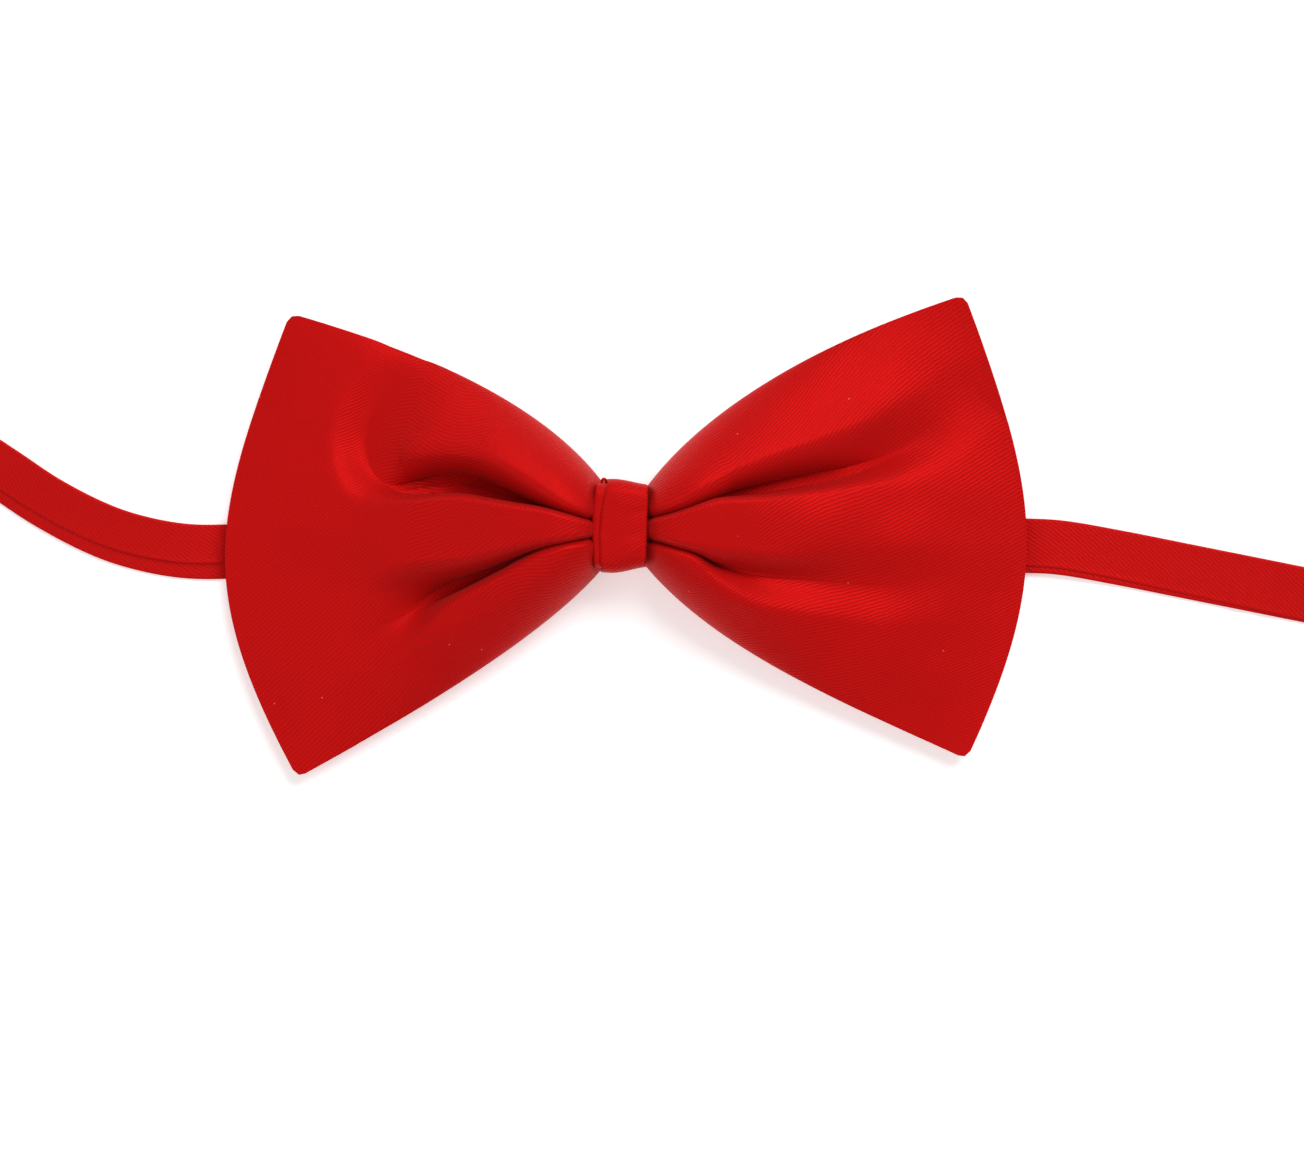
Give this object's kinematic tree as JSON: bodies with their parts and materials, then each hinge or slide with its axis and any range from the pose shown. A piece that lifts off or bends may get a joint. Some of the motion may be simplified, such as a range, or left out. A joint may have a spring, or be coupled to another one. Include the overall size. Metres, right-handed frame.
{
  "type": "bow tie",
  "caption": "Pre-tied satin bow tie: a puffed bow pinched by a small wrap, on a flat adjustable neckband with a metal hook and eye.",
  "frame": {"origin": "on the flat back of the knot, where the bow rests on a table", "axes": "+Z forward, out of the bow's face; +Y up on the wearer; +X to the right as seen from the front"},
  "size_m": [0.4601, 0.0724, 0.0168],
  "materials": {
    "satin": "satin twill with a soft sheen",
    "band_satin": "folded satin with a soft sheen",
    "interlining": "matte non-woven",
    "thread": "spun polyester",
    "metal": "polished nickel"
  },
  "bodies": {
    "bow": {"pleated_waist": "satin", "waist_thread": "thread", "waist_band": "satin", "knot_wrap": "satin", "wrap_stitches": "thread"},
    "left_wing": {"left_wing_front": "satin", "left_wing_back": "satin", "left_wing_interlining": "interlining"},
    "right_wing": {"right_wing_front": "satin", "right_wing_back": "satin", "right_wing_interlining": "interlining"},
    "band": {"neckband": "band_satin", "adjusting_run": "band_satin", "eye_loop": "band_satin", "eye_stitches": "thread"},
    "adjuster": {"slide_adjuster": "metal", "adjuster_fold": "band_satin", "adjuster_stitches": "thread"},
    "hook_end": {"hook_loop": "band_satin"},
    "hook": {"hook": "metal"},
    "eye": {"eye": "metal"}
  },
  "joints": [
    {"name": "left_wing_flex", "type": "hinge", "parent": "bow", "child": "left_wing", "pos_m": [-0.0095, 0.0016, 0.0066], "axis": [0, 1, 0], "range_deg": [0, 30], "stiffness_Nm_per_rad": 0.02},
    {"name": "right_wing_flex", "type": "hinge", "parent": "bow", "child": "right_wing", "pos_m": [0.0082, 0.0016, 0.0066], "axis": [0, -1, 0], "range_deg": [0, 30], "stiffness_Nm_per_rad": 0.02},
    {"name": "band_slide", "type": "slide", "parent": "bow", "child": "band", "axis": [1, 0, 0], "range_m": [-0.01, 0.01]},
    {"name": "adjuster_slide", "type": "slide", "parent": "band", "child": "adjuster", "axis": [1, 0, 0], "range_m": [-0.065, 0], "deforming": ["adjusting_run"]},
    {"name": "hook_end_slide", "type": "slide", "parent": "adjuster", "child": "hook_end", "axis": [1, 0, 0], "range_m": [0, 0.0325], "deforming": ["hook_loop"]},
    {"name": "hook_swivel", "type": "hinge", "parent": "hook_end", "child": "hook", "pos_m": [0.22, -0.0115, 0.0015], "axis": [0, -1, 0], "range_deg": [0, 100]},
    {"name": "eye_swivel", "type": "hinge", "parent": "band", "child": "eye", "pos_m": [-0.218, 0.026, 0.0015], "axis": [0, 1, 0], "range_deg": [0, 100]}
  ],
  "couplings": [
    {"joint": "hook_end_slide", "follows": "adjuster_slide", "ratio": -0.5}
  ]
}
